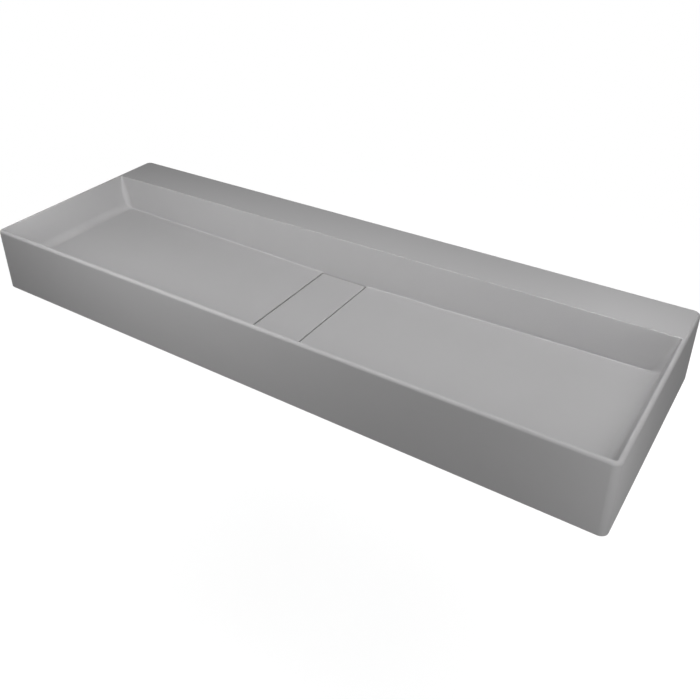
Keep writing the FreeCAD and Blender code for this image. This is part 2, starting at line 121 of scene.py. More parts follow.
# %% Make the floor
FLOOR_HEIGHT = -0.85
FLOOR_SIZE = 30
FLOOR_WHITE = (0.9, 0.9, 0.9, 1)
FLOOR_ROUGHNESS = 0.9
FLOOR_GREY = (0.02, 0.02, 0.02, 1)
SHADOW_REACH = (1.0, 2.4)
NEAR_GLOW_SHARE = 0.85

bpy.ops.object.select_all(action="DESELECT")
bpy.ops.mesh.primitive_plane_add(size=FLOOR_SIZE, location=(0, 0, FLOOR_HEIGHT))
floor = bpy.context.object
floor.name = "floor"
floor_paint = bpy.data.materials.new("floor_paint")
floor_paint.use_nodes = True
nodes, links = floor_paint.node_tree.nodes, floor_paint.node_tree.links
lit = nodes["Principled BSDF"]
lit.inputs["Base Color"].default_value = FLOOR_WHITE
lit.inputs["Roughness"].default_value = FLOOR_ROUGHNESS
lit.inputs["Specular IOR Level"].default_value = 0
glow = nodes.new("ShaderNodeEmission")
dull = nodes.new("ShaderNodeBsdfDiffuse")
dull.inputs["Color"].default_value = FLOOR_GREY
place = nodes.new("ShaderNodeTexCoord")
away = nodes.new("ShaderNodeVectorMath")
away.operation = "LENGTH"
glow_share = nodes.new("ShaderNodeMapRange")
glow_share.inputs["From Min"].default_value, glow_share.inputs["From Max"].default_value = SHADOW_REACH
glow_share.inputs["To Min"].default_value = NEAR_GLOW_SHARE
links.new(place.outputs["Object"], away.inputs[0])
links.new(away.outputs["Value"], glow_share.inputs["Value"])
white = mix_shaders(nodes, links, glow_share.outputs["Result"],
                    lit.outputs["BSDF"], glow.outputs["Emission"])
shown = mix_shaders(nodes, links, seen_directly(nodes, links), dull.outputs["BSDF"], white)
links.new(shown, nodes["Material Output"].inputs["Surface"])
floor.data.materials.append(floor_paint)
print("floor at", FLOOR_HEIGHT)

# %% Light the background
WORLD_LIGHT = 0.02
world = bpy.data.worlds.new("studio")
world.use_nodes = True
scene.world = world
nodes, links = world.node_tree.nodes, world.node_tree.links
sky = nodes["Background"]
sky.inputs["Color"].default_value = (1, 1, 1, 1)
strength = nodes.new("ShaderNodeMapRange")
strength.inputs["To Min"].default_value = WORLD_LIGHT
strength.inputs["To Max"].default_value = 1
links.new(seen_directly(nodes, links), strength.inputs["Value"])
links.new(strength.outputs["Result"], sky.inputs["Strength"])
print("world light on the basin:", WORLD_LIGHT)

# %% [markdown]
# ## Lamps
# Soft lamps let the faces of a plain casting shade off slowly, and an area lamp is such a softbox.
# One bright lamp would be simpler, but it would leave parts of the bowl in shade. So two stand in
# front on the right, others over the bowl and the deck and in front lift single faces, and larger
# ones behind, on the left and below keep the far sides readable. A sun lights the floor alone, by
# light linking, which gives the floor its shadow and leaves the basin as it is.

# %% Hang the softboxes
def softbox(name, place, aim, size, watts):
    """Add an area lamp of a width and height that faces a point."""
    bpy.ops.object.light_add(type="AREA", location=place)
    lamp = bpy.context.object
    lamp.name = name
    lamp.rotation_euler = (Vector(aim) - Vector(place)).to_track_quat("-Z", "Y").to_euler()
    lamp.data.shape = "RECTANGLE"
    lamp.data.size, lamp.data.size_y = size
    lamp.data.energy = watts
    lamp.visible_camera = False


for name, place, aim, size, watts in (
    ("main_lamp", (1.1, -0.9, 0.9), (0.77, -0.2, 0), (0.4, 0.4), 3.8),
    ("second_lamp", (0.7, -0.9, 0.9), (0.49, -0.2, 0), (0.4, 0.4), 1.15),
    ("deck_lamp", (0.57, -0.115, 0.42), (0.5, -0.1, 0), (0.1, 0.06), 0.8),
    ("bowl_lamp", (0.5, -0.25, 0.6), (-0.6, -0.2, 0), (0.3, 0.3), 1.3),
    ("left_end_lamp", (0.2, -0.25, 0.45), (-0.6, -0.25, 0.02), (0.2, 0.2), 0.7),
    ("left_bowl_lamp", (-0.2, -0.4, 0.6), (-0.55, -0.1, 0), (0.3, 0.2), 1.3),
    ("left_wall_lamp", (-0.45, -0.4, 0.2), (-0.5, -0.1, 0), (0.3, 0.06), 0.15),
    ("right_wall_lamp", (0.45, -0.4, 0.2), (0.4, -0.1, 0), (0.4, 0.06), 0.13),
    ("left_lamp", (-0.7, -0.3, 0.35), (0, -0.2, 0), (0.2, 0.2), 0.2),
    ("front_lamp", (-0.2, -1.3, 0.35), (-0.2, -0.1, 0), (0.6, 0.3), 2.15),
    ("rim_lamp", (-0.2, -0.75, 0.35), (-0.2, -0.2, 0), (0.6, 0.2), 1.4),
    ("corner_lamp", (0.92, -0.66, 0.1), (0.6, -0.41, -0.02), (0.1, 0.2), 0.9),
    ("back_fill", (0, 1.6, -0.3), (0, 0, -0.05), (1.8, 0.4), 9),
    ("left_fill", (-2.0, -0.1, -0.35), (-0.6, -0.2, -0.05), (0.8, 0.4), 5),
    ("under_fill", (0, -0.2, -0.8), (0, -0.2, 0), (1.0, 0.3), 5),
):
    softbox(name, place, aim, size, watts)

# %% Light the floor
SUN_HEIGHT = 3
SUN_STRENGTH = 3.5
SUN_SPREAD = math.radians(60)
bpy.ops.object.light_add(type="SUN", location=(0, 0, SUN_HEIGHT))
floor_lamp = bpy.context.object
floor_lamp.name = "floor_lamp"
floor_lamp.data.energy = SUN_STRENGTH
floor_lamp.data.angle = SUN_SPREAD
floor_only = bpy.data.collections.new("floor_only")
floor_only.objects.link(floor)
floor_lamp.light_linking.receiver_collection = floor_only

# %% [markdown]
# ## Tools for modelling
# Each piece starts as a primitive at its size and place. In edit mode its corners, edges and faces
# are picked by where they are, and then bevelled or moved. Forms that are cut from or grown on a
# piece are modelled the same way and joined to it with a Boolean modifier.

# %% Start pieces from primitives
def start(name, add, **settings):
    """Add a primitive with nothing else selected, put its place into its mesh and open it."""
    if bpy.context.mode != "OBJECT":
        bpy.ops.object.mode_set(mode="OBJECT")
    bpy.ops.object.select_all(action="DESELECT")
    add(**settings)
    piece = bpy.context.object
    piece.name = piece.data.name = name
    bpy.ops.object.transform_apply(location=True, rotation=True, scale=True)
    bpy.ops.object.mode_set(mode="EDIT")
    return piece


def block(name, low, high):
    """Start a piece from a cube that fills a box."""
    low, high = Vector(low), Vector(high)
    return start(name, bpy.ops.mesh.primitive_cube_add, size=1,
                 location=(low + high) / 2, scale=high - low)


def disc(name, centre, radius, length, sides=64, turn=(0, 0, 0)):
    """Start a piece from a cylinder about a centre."""
    return start(name, bpy.ops.mesh.primitive_cylinder_add, vertices=sides, radius=radius, depth=length,
                 location=centre, rotation=turn)


# %% Pick by place, and round what is picked
ROUND_PROFILE = 0.5


def corners_of(item):
    """Give the corners of an edge or a face, or a corner itself."""
    return [corner.co for corner in getattr(item, "verts", [item])]


def lies(item, **places):
    """Say whether every corner of an item is at some places, such as z=0."""
    return all(abs(getattr(co, axis) - place) < NEAR
               for co in corners_of(item) for axis, place in places.items())


def runs_along(edge, axis):
    """Say whether an edge runs along one axis."""
    one, other = corners_of(edge)
    return abs(abs(getattr(other - one, axis)) - (other - one).length) < NEAR


def pick(piece, kind, wanted):
    """Select the corners, edges or faces that pass a test, and count them."""
    bpy.ops.mesh.select_mode(type=kind)
    bpy.ops.mesh.select_all(action="DESELECT")
    mesh = bmesh.from_edit_mesh(piece.data)
    items = {"VERT": mesh.verts, "EDGE": mesh.edges, "FACE": mesh.faces}[kind]
    chosen = [item for item in items if wanted(item)]
    for item in chosen:
        item.select_set(True)
    mesh.select_flush_mode()
    bmesh.update_edit_mesh(piece.data)
    return len(chosen)


def round_edges(piece, width, wanted, segments):
    """Pick edges, round them and count them."""
    count = pick(piece, "EDGE", wanted)
    bpy.ops.mesh.bevel(offset=width, segments=segments, profile=ROUND_PROFILE, affect="EDGES",
                       clamp_overlap=False)
    return count


def weigh_edges(piece, weight, wanted):
    """Pick edges, give them a share of the width of the next weighted bevel and count them."""
    count = pick(piece, "EDGE", wanted)
    bpy.ops.transform.edge_bevelweight(value=weight)
    return count


# %% Apply modifiers
SMOOTH_ANGLE = math.radians(40)


def choose(piece):
    """Leave edit mode with one piece selected and active."""
    bpy.ops.object.mode_set(mode="OBJECT")
    bpy.ops.object.select_all(action="DESELECT")
    piece.select_set(True)
    bpy.context.view_layer.objects.active = piece


def apply(piece, kind, **settings):
    """Put a modifier on a piece and apply it at once."""
    choose(piece)
    modifier = piece.modifiers.new(kind.lower(), kind)
    for name, setting in settings.items():
        setattr(modifier, name, setting)
    bpy.ops.object.modifier_apply(modifier=modifier.name)


def join(piece, tool, operation):
    """Cut a tool out of a piece, or grow it on, and put the tool away."""
    apply(piece, "BOOLEAN", object=tool, operation=operation, solver="EXACT")
    bpy.data.objects.remove(tool)


def repeat(piece, count, step):
    """Make evenly spaced copies within a piece."""
    apply(piece, "ARRAY", count=count, use_relative_offset=False, use_constant_offset=True,
          constant_offset_displace=step)


def finish_surface(piece):
    """Shade rounds smoothly and keep flat faces flat."""
    choose(piece)
    bpy.ops.object.shade_smooth_by_angle(angle=SMOOTH_ANGLE)
    apply(piece, "WEIGHTED_NORMAL", keep_sharp=True)
    print(f"{piece.name}: {len(piece.data.polygons)} faces")


# %% [markdown]
# ## The casting
# The outside is a plain block with rounded upright corners, a softly rounded rim and an eased foot.
# The upright corners are rounded first, so that the rim and the foot are each one smooth loop.

# %% Make the outer block
PLAN_CORNER = 12 * MM
RIM_OUTER = 5.0 * MM
FOOT_EDGE = 2 * MM
basin_low, basin_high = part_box("basin_body")
RIM = basin_high.z
FOOT = basin_low.z

basin = block("basin", basin_low, basin_high)
round_edges(basin, PLAN_CORNER, lambda edge: runs_along(edge, "z"), segments=12)
rim_edges = round_edges(basin, RIM_OUTER, lambda edge: lies(edge, z=RIM), segments=8)
round_edges(basin, FOOT_EDGE, lambda edge: lies(edge, z=FOOT), segments=3)
print("outer block: edges round the rim:", rim_edges)

# %% [markdown]
# ## The bowl
# The bowl is what a mould core leaves behind. Its end walls lean by 15 degrees and its long walls by
# 7, so the core can be drawn out, and its floor falls from both ends to the middle. Subtracting the
# core is how the real bowl is formed, and it keeps the leaning walls and the coves true.

# %% Measure the bowl
RIM_THICKNESS = 7 * MM
DECK_DEPTH = 94 * MM
BOWL_DEPTH = 78 * MM
FLOOR_FALL = 10 * MM
END_LEAN = math.tan(math.radians(15))
LONG_LEAN = math.tan(math.radians(7))

END_DEPTH = BOWL_DEPTH - FLOOR_FALL
MOUTH_HALF = basin_high.x - RIM_THICKNESS
MOUTH_REAR = -DECK_DEPTH
MOUTH_FRONT = basin_low.y + RIM_THICKNESS
MOUTH_MIDDLE = (MOUTH_REAR + MOUTH_FRONT) / 2
VALLEY = RIM - BOWL_DEPTH
FLOOR_REACH = MOUTH_HALF - END_DEPTH * END_LEAN
FLOOR_SLOPE = FLOOR_FALL / FLOOR_REACH


def rear_wall(depth):
    """Y of the bowl's rear wall at a depth below the rim."""
    return MOUTH_REAR - depth * LONG_LEAN


def half_span(depth):
    """Half the distance between the bowl's long walls at a depth below the rim."""
    return rear_wall(depth) - MOUTH_MIDDLE


print("slope of the floor:", round(FLOOR_SLOPE, 4))

# %% Shape the bowl core
OVERRUN = 5 * MM
END_COVE = 14 * MM
VALLEY_COVE = 35 * MM

core_top = RIM + OVERRUN
core_half = MOUTH_HALF + OVERRUN * END_LEAN
core_span = half_span(-OVERRUN)
end_floor = RIM - END_DEPTH
core = block("bowl_core", (-core_half, MOUTH_MIDDLE - core_span, end_floor),
             (core_half, MOUTH_MIDDLE + core_span, core_top))
bpy.ops.mesh.select_all(action="SELECT")
bpy.ops.mesh.bisect(plane_co=(0, 0, 0), plane_no=(1, 0, 0))
pivot = (0, MOUTH_MIDDLE, 0)
pick(core, "VERT", lambda corner: lies(corner, z=end_floor))
bpy.ops.transform.resize(value=(FLOOR_REACH / core_half, half_span(END_DEPTH) / core_span, 1),
                         center_override=pivot)
pick(core, "VERT", lambda corner: lies(corner, x=0, z=end_floor))
bpy.ops.transform.resize(value=(1, half_span(BOWL_DEPTH) / half_span(END_DEPTH), 1),
                         center_override=pivot)
bpy.ops.transform.translate(value=(0, 0, -FLOOR_FALL))
pick(core, "EDGE", lambda edge: lies(edge, x=0) and not lies(edge, z=VALLEY))
bpy.ops.mesh.dissolve_edges(use_verts=False)
ends = round_edges(core, END_COVE, lambda edge: lies(edge, z=end_floor) and runs_along(edge, "y"),
                   segments=12)
print("end walls with a cove at their foot:", ends)

# %% [markdown]
# The coves along the long walls have no single width. In the upright corners they widen downwards,
# and round the corner of the floor they ease to a fine line along the walls' feet. A Bevel modifier
# that goes by edge weights makes them in one run: each upright edge is divided, one at a time so
# that the walls stay whole, and every edge of the chain gets its share of the widest cove.

# %% Cove the long walls and sink the core
CORNER_COVE = 13 * MM
LONG_COVE_SHARE = 0.16
MOUTH_COVE_SHARE = 0.28
COVE_STEPS = 6
SHARE_DIGITS = 2


def upright(edge, side, end):
    """Say whether an edge leads to the core's top at one of its four corners."""
    place = corners_of(edge)[0]
    at_top = sum(lies(corner, z=core_top) for corner in edge.verts)
    return at_top == 1 and side * place.x > 0 and end * (place.y - MOUTH_MIDDLE) > 0


def in_chain(edge):
    """Say whether a long wall meets another face of the core along an edge, below its top."""
    in_wall = all(abs(abs(co.y - MOUTH_MIDDLE) - half_span(RIM - co.z)) < NEAR for co in corners_of(edge))
    return in_wall and edge.calc_face_angle(0) > SMOOTH_ANGLE and not lies(edge, z=core_top)


def cove_share(edge):
    """Give an edge's share of the widest cove: all at the end cove's top, less to floor and mouth."""
    height = sum(co.z for co in corners_of(edge)) / 2 - end_floor
    if height < END_COVE:
        share = LONG_COVE_SHARE + (1 - LONG_COVE_SHARE) * max(height / END_COVE, 0)
    else:
        climb = min((height - END_COVE) / (END_DEPTH - END_COVE), 1)
        share = 1 + (MOUTH_COVE_SHARE - 1) * climb
    return round(share, SHARE_DIGITS)


for side, end in ((1, 1), (1, -1), (-1, 1), (-1, -1)):
    pick(core, "EDGE", lambda edge: upright(edge, side, end))
    bpy.ops.mesh.subdivide(number_cuts=COVE_STEPS)
round_edges(core, VALLEY_COVE, lambda edge: lies(edge, x=0, z=VALLEY), segments=6)
shares = sorted({cove_share(edge) for edge in bmesh.from_edit_mesh(core.data).edges if in_chain(edge)})
chain = 0
for share in shares:
    chain += weigh_edges(core, share, lambda edge: in_chain(edge) and cove_share(edge) == share)
apply(core, "BEVEL", limit_method="WEIGHT", width=CORNER_COVE, segments=8, use_clamp_overlap=False)
join(basin, core, "DIFFERENCE")
print("coved edges of the core:", chain, "in", len(shares), "widths")

# %% [markdown]
# The inner edge of the rim is rounded only now, because it exists only once the bowl is sunk.
# It is found as the edges at rim height that have the bowl's wall on one side.

# %% Round the inner edge of the rim
RIM_INNER = 1.2 * MM
NEARLY_LEVEL = 0.9


def mouth_edge(edge):
    """Say whether an edge at rim height borders the bowl."""
    if not lies(edge, z=RIM):
        return False
    beside = [face.calc_center_median() for face in edge.link_faces if abs(face.normal.z) < NEARLY_LEVEL]
    return any(abs(co.x) < MOUTH_HALF and MOUTH_FRONT < co.y < MOUTH_REAR for co in beside)


bpy.ops.object.mode_set(mode="EDIT")
print("mouth edges:", round_edges(basin, RIM_INNER, mouth_edge, segments=4))

# %% [markdown]
# ## The underside
# The casting is hollow from below, with an even wall under the floor and the deck. A Solidify
# modifier would give the whole skin one thickness, the thin rim too, so the hollows are cut as blocks
# instead, each with the rounds that a mould leaves.

# %% Hollow the underside
WALL = 12 * MM
MOULD_ROUND = 5 * MM

inner_half = basin_high.x - WALL
inner_front = basin_low.y + WALL
inner_rear = basin_high.y - WALL
below = FOOT - OVERRUN
under_end = VALLEY - WALL + FLOOR_SLOPE * inner_half

under_floor = block("under_floor", (-inner_half, inner_front, below),
                    (inner_half, inner_rear, under_end))
bpy.ops.mesh.select_all(action="SELECT")
bpy.ops.mesh.bisect(plane_co=(0, 0, 0), plane_no=(1, 0, 0))
pick(under_floor, "VERT", lambda corner: lies(corner, x=0, z=under_end))
bpy.ops.transform.translate(value=(0, 0, -FLOOR_SLOPE * inner_half))
pick(under_floor, "EDGE", lambda edge: lies(edge, x=0) and not runs_along(edge, "y"))
bpy.ops.mesh.dissolve_edges(use_verts=False)
round_edges(under_floor, MOULD_ROUND, lambda edge: runs_along(edge, "z"), segments=3)
join(basin, under_floor, "DIFFERENCE")

deck_underside = RIM - WALL
under_deck_front = rear_wall(WALL) + WALL
under_deck = block("under_deck", (-inner_half, under_deck_front, below),
                   (inner_half, inner_rear, deck_underside))
pick(under_deck, "VERT", lambda corner: lies(corner, y=under_deck_front, z=below))
bpy.ops.transform.translate(value=(0, rear_wall(RIM - below) - rear_wall(WALL), 0))
round_edges(under_deck, MOULD_ROUND,
            lambda edge: lies(edge, z=deck_underside) or not lies(edge, z=below), segments=3)
join(basin, under_deck, "DIFFERENCE")
print("hollowed:", len(basin.data.polygons), "faces")

# %% [markdown]
# A solid block carries the sump in the middle, four ribs stiffen the deck and two bosses take the
# wall fixings. They are made as separate forms and joined by a Boolean union, and each starts a
# little inside the casting, because faces that only touch would not join cleanly.

# %% Grow the sump block
SUMP_WALL = 10 * MM
SUMP_OVERLAP = 2 * MM
COVER_GAPS = Vector((3 * MM, 1.5 * MM, 0))

sump_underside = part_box("body_seal")[1].z
cover_low, cover_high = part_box("drain_cover")
recess_low, recess_high = cover_low - COVER_GAPS, cover_high + COVER_GAPS
sump_block = block("sump_block", (recess_low.x - SUMP_WALL, recess_low.y - SUMP_WALL, sump_underside),
                   (recess_high.x + SUMP_WALL, recess_high.y + SUMP_WALL, VALLEY - SUMP_OVERLAP))
round_edges(sump_block, MOULD_ROUND, lambda edge: runs_along(edge, "z"), segments=3)
round_edges(sump_block, FOOT_EDGE, lambda edge: lies(edge, z=sump_underside), segments=3)
join(basin, sump_block, "UNION")
print("sump block down to", round(sump_underside, 4))

# %% Grow the ribs
RIB_THICKNESS = 10 * MM
RIB_DROP = 45 * MM
RIB_END_INSET = 78 * MM
RIB_COUNT = 4

hold = WALL / 2
rib_foot = deck_underside - RIB_DROP
rib_reach = inner_half - RIB_END_INSET
rib_front = rear_wall(hold) + hold
rib = block("rib", (-rib_reach - RIB_THICKNESS / 2, rib_front, rib_foot),
            (-rib_reach + RIB_THICKNESS / 2, inner_rear + hold, RIM - hold))
pick(rib, "VERT", lambda corner: lies(corner, y=rib_front, z=rib_foot))
bpy.ops.transform.translate(value=(0, rear_wall(RIM - rib_foot) - rear_wall(hold), 0))
round_edges(rib, FOOT_EDGE, lambda edge: lies(edge, z=rib_foot) and not runs_along(edge, "x"), segments=3)
repeat(rib, RIB_COUNT, (2 * rib_reach / (RIB_COUNT - 1), 0, 0))
join(basin, rib, "UNION")
print("ribs:", RIB_COUNT, "within", round(rib_reach, 3), "of the middle")

# %% Grow the bosses
BOSS_RADIUS = 22 * MM
BOSS_HEIGHT = 8 * MM
ALONG_Y = (math.radians(90), 0, 0)

fixings = frame["record"]["mounts"][0]
FIXING_HALF = fixings["dims"]["spacing_x_mm"] * MM / 2
boss_face = inner_rear - BOSS_HEIGHT
boss_end = inner_rear + hold
boss = disc("boss", (-FIXING_HALF, (boss_end + boss_face) / 2, 0), BOSS_RADIUS, boss_end - boss_face,
            turn=ALONG_Y)
round_edges(boss, FOOT_EDGE, lambda edge: lies(edge, y=boss_face), segments=3)
repeat(boss, 2, (2 * FIXING_HALF, 0, 0))
join(basin, boss, "UNION")
print("underside:", len(basin.data.polygons), "faces")

# %% [markdown]
# ## The recess and the waste hole
# Under the cover the floor drops to a ledge, and inside the ledge to a shallow sump. The strainer
# sits in a round seat in the sump, over the waste hole. The wall fixing holes go through the bosses.
# Insetting and extruding the floor would give the same steps, but the floor slopes and its faces are
# long, so each level is a block or a cylinder that is cut out, from the widest to the narrowest.

# %% Cut the recess and the sump
RECESS_CORNER = 4 * MM
LEDGE_WIDTH = 13 * MM
SUMP_CORNER = 14 * MM
SUMP_COVE = 3 * MM

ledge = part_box("cover_bumpers")[0].z
strainer_low, strainer_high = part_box("waste_strainer")
sump_floor = strainer_high.z
recess = block("recess", (recess_low.x, recess_low.y, ledge), (recess_high.x, recess_high.y, RIM))
round_edges(recess, RECESS_CORNER, lambda edge: runs_along(edge, "z"), segments=5)
join(basin, recess, "DIFFERENCE")
sump = block("sump", (recess_low.x + LEDGE_WIDTH, recess_low.y + LEDGE_WIDTH, sump_floor),
             (recess_high.x - LEDGE_WIDTH, recess_high.y - LEDGE_WIDTH, ledge + OVERRUN))
round_edges(sump, SUMP_CORNER, lambda edge: runs_along(edge, "z"), segments=8)
round_edges(sump, SUMP_COVE, lambda edge: lies(edge, z=sump_floor), segments=4)
join(basin, sump, "DIFFERENCE")
print("sump floor at", round(sump_floor, 4))

# %% Cut the seat and the holes
SEAT_GAP = 1.5 * MM
HOLE_GAP = 0.2 * MM
WASTE_HOLE_RADIUS = 25 * MM
WASTE_CUT = 20 * MM
BUSH_RADIUS = 8 * MM
FIXING_CUT = 50 * MM

waste = Vector((0, (strainer_low.y + strainer_high.y) / 2, sump_floor))
seat_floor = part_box("strainer_seal")[0].z
seat_radius = (strainer_high.x - strainer_low.x) / 2 + SEAT_GAP
seat = disc("seat", (0, waste.y, seat_floor + OVERRUN), seat_radius, 2 * OVERRUN, sides=96)
join(basin, seat, "DIFFERENCE")
hole = disc("waste_hole", (0, waste.y, sump_underside), WASTE_HOLE_RADIUS, WASTE_CUT, sides=96)
join(basin, hole, "DIFFERENCE")
fixing = disc("fixing_hole", (-FIXING_HALF, boss_face, 0), BUSH_RADIUS + HOLE_GAP, FIXING_CUT, turn=ALONG_Y)
repeat(fixing, 2, (2 * FIXING_HALF, 0, 0))
join(basin, fixing, "DIFFERENCE")
finish_surface(basin)

# %% [markdown]
# ## The drain cover
# A slab of the same casting lies flush in the floor, with 3 mm gaps along its sides that let water
# through. It could be cut from the floor, but it lifts out, so it is a block of its own. Its edges are
# eased with bevels, which draw the fine light line along the gap.

# %% Make the cover
COVER_CORNER = 2 * MM
COVER_EDGE = 0.8 * MM
COVER_FOOT = 0.5 * MM
cover = block("cover", cover_low, cover_high)
round_edges(cover, COVER_CORNER, lambda edge: runs_along(edge, "z"), segments=5)
round_edges(cover, COVER_EDGE, lambda edge: lies(edge, z=cover_high.z), segments=4)
round_edges(cover, COVER_FOOT, lambda edge: lies(edge, z=cover_low.z), segments=2)
finish_surface(cover)

# %% [markdown]
# ## The bumpers
# Four soft strips under the cover keep it level and quiet, and leave water free to pass between
# them. One is modelled with soft edges, and an Array in each direction makes the other three.

# %% Make the bumpers
BUMPER_WIDTH = 9 * MM
BUMPER_LENGTH = 18 * MM
BUMPER_CORNER = 2.1 * MM
BUMPER_EDGE = 0.7 * MM
bumper_low, bumper_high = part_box("cover_bumpers")
bumpers = block("bumpers", bumper_low,
                (bumper_low.x + BUMPER_WIDTH, bumper_low.y + BUMPER_LENGTH, bumper_high.z))
round_edges(bumpers, BUMPER_CORNER, lambda edge: runs_along(edge, "z"), segments=5)
round_edges(bumpers, BUMPER_EDGE, lambda edge: lies(edge, z=bumper_low.z), segments=3)
repeat(bumpers, 2, (bumper_high.x - bumper_low.x - BUMPER_WIDTH, 0, 0))
repeat(bumpers, 2, (0, bumper_high.y - bumper_low.y - BUMPER_LENGTH, 0))
finish_surface(bumpers)

# %% [markdown]
# ## The waste
# The strainer, screw, seals, tail and insert are all turned shapes, and so are the bushes of the wall
# fixings. Half a section is drawn from a single point, extruded corner by corner, its corners are
# rounded, and it is spun about its axis. Stacked cylinders would do, but they would need a bevel at
# every step. A single point stays selected only in vertex mode, so that mode is set first.

# %% A tool for turned pieces
CORNER_SEGMENTS = 3


def section(name, outline, closed, rounding):
    """Draw half a section, with x out from the axis, from a point that is extruded to each corner."""
    piece = start(name, bpy.ops.mesh.primitive_plane_add, size=MM, location=outline[0])
    bpy.ops.mesh.select_mode(type="VERT")
    bpy.ops.mesh.merge(type="CENTER")
    for here, there in zip(outline, outline[1:]):
        bpy.ops.mesh.extrude_region_move(TRANSFORM_OT_translate={"value": Vector(there) - Vector(here)})
    ends = [Vector(outline[0]), Vector(outline[-1])]
    if closed:
        pick(piece, "VERT", lambda corner: any((corner.co - end).length < NEAR for end in ends))
        bpy.ops.mesh.edge_face_add()
    if rounding:
        pick(piece, "VERT", lambda corner: closed or all((corner.co - end).length > NEAR for end in ends))
        bpy.ops.mesh.bevel(offset=rounding, segments=CORNER_SEGMENTS, profile=ROUND_PROFILE,
                           affect="VERTICES", clamp_overlap=True)
    bpy.ops.mesh.select_all(action="SELECT")
    return piece


def close_up():
    """Merge what meets and turn all faces outwards."""
    bpy.ops.mesh.select_all(action="SELECT")
    bpy.ops.mesh.remove_doubles(threshold=NEAR)
    bpy.ops.mesh.normals_make_consistent(inside=False)


def turned(name, outline, place, rounding, closed=True, steps=72, axis="z"):
    """Spin half a section, drawn as distances out from and along an axis, and move it to its place."""
    points = [(out, 0, along) if axis == "z" else (out, along, 0) for out, along in outline]
    piece = section(name, points, closed, rounding)
    around = (0, 0, 1) if axis == "z" else (0, 1, 0)
    bpy.ops.mesh.spin(steps=steps, angle=math.tau, center=(0, 0, 0), axis=around)
    close_up()
    bpy.ops.transform.translate(value=place)
    return piece


# %% A tool for threads
RIDGE_SINK_SHARE = 0.125
RIDGE_FOOT_SHARE = 0.42
RIDGE_TIP_SHARE = 0.1
STEPS_PER_TURN = 36


def thread(name, root, crest, pitch, turns, place):
    """Wind a ridge round an upright axis, from its place downwards, with closed ends."""
    sunk = root - RIDGE_SINK_SHARE * pitch
    foot = RIDGE_FOOT_SHARE * pitch
    tip = RIDGE_TIP_SHARE * pitch
    steps = int(STEPS_PER_TURN * turns)
    ridge = section(name, [(sunk, 0, foot), (crest, 0, tip), (crest, 0, -tip), (sunk, 0, -foot)],
                    closed=True, rounding=0)
    apply(ridge, "SCREW", axis="Z", angle=turns * math.tau, screw_offset=-turns * pitch,
          steps=steps, render_steps=steps, use_merge_vertices=False)
    bpy.ops.object.mode_set(mode="EDIT")
    bpy.ops.mesh.select_all(action="SELECT")
    bpy.ops.mesh.fill_holes(sides=0)
    close_up()
    bpy.ops.transform.translate(value=place)
    return ridge


# %% [markdown]
# The strainer is pressed from sheet steel: a flange, a straight cup and six drain holes round the
# screw. Its section follows the sheet there and back, so that it has a real thickness.

# %% Make the strainer
SHEET = 1.5 * MM
SHEET_ROUND = 0.6 * MM
CUP_DEPTH = 5 * MM
CUP_RADIUS = 21 * MM
SCREW_RADIUS = 3 * MM
DRAIN_HOLE_RADIUS = 4 * MM
DRAIN_CIRCLE = 14 * MM
DRAIN_HOLES = 6
flange = (strainer_high.x - strainer_low.x) / 2
screw_gap = SCREW_RADIUS + HOLE_GAP
cup_outside = CUP_RADIUS + SHEET
cup_underside = CUP_DEPTH + SHEET
strainer = turned("strainer", [
    (screw_gap, -CUP_DEPTH), (CUP_RADIUS, -CUP_DEPTH), (CUP_RADIUS, 0), (flange, 0), (flange, -SHEET),
    (cup_outside, -SHEET), (cup_outside, -cup_underside), (screw_gap, -cup_underside),
], waste, SHEET_ROUND, steps=96)
for index in range(DRAIN_HOLES):
    angle = math.tau * index / DRAIN_HOLES
    out = Vector((math.cos(angle), math.sin(angle), 0)) * DRAIN_CIRCLE
    drain = disc("drain_hole", waste + out - Vector((0, 0, CUP_DEPTH)), DRAIN_HOLE_RADIUS, 2 * OVERRUN,
                 sides=40)
    join(strainer, drain, "DIFFERENCE")
finish_surface(strainer)

# %% [markdown]
# One slotted screw draws the strainer and the tail together. Its head is turned, its slot is cut
# across, and a ridge wound round the shank makes the thread, as it does on the tail below.

# %% Make the screw
screw_low, screw_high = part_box("strainer_screw")
HEAD_RADIUS = 5.5 * MM
HEAD_HEIGHT = 3 * MM
SLOT_WIDTH = 1.6 * MM
SLOT_DEPTH = 1.5 * MM
SCREW_ROOT = 2.5 * MM
SCREW_PITCH = 1 * MM
SCREW_NECK = 8 * MM
SCREW_ROUND = 0.3 * MM
SCREW_PLAIN_TURNS = 2
head_foot = Vector((0, waste.y, screw_high.z - HEAD_HEIGHT))
shank = head_foot.z - screw_low.z
neck_foot = SCREW_NECK + SCREW_RADIUS - SCREW_ROOT
screw = turned("screw", [
    (0, HEAD_HEIGHT), (HEAD_RADIUS, HEAD_HEIGHT), (HEAD_RADIUS, 0), (SCREW_RADIUS, 0),
    (SCREW_RADIUS, -SCREW_NECK), (SCREW_ROOT, -neck_foot), (SCREW_ROOT, -shank), (0, -shank),
], head_foot, SCREW_ROUND, closed=False, steps=48)
turns = int((shank - SCREW_NECK) / SCREW_PITCH) - SCREW_PLAIN_TURNS
ridge_top = head_foot - Vector((0, 0, SCREW_NECK + SCREW_PITCH))
join(screw, thread("screw_ridge", SCREW_ROOT, SCREW_RADIUS, SCREW_PITCH, turns, ridge_top), "UNION")
slot = block("slot", (-2 * HEAD_RADIUS, waste.y - SLOT_WIDTH / 2, screw_high.z - SLOT_DEPTH),
             (2 * HEAD_RADIUS, waste.y + SLOT_WIDTH / 2, screw_high.z + OVERRUN))
join(screw, slot, "DIFFERENCE")
finish_surface(screw)

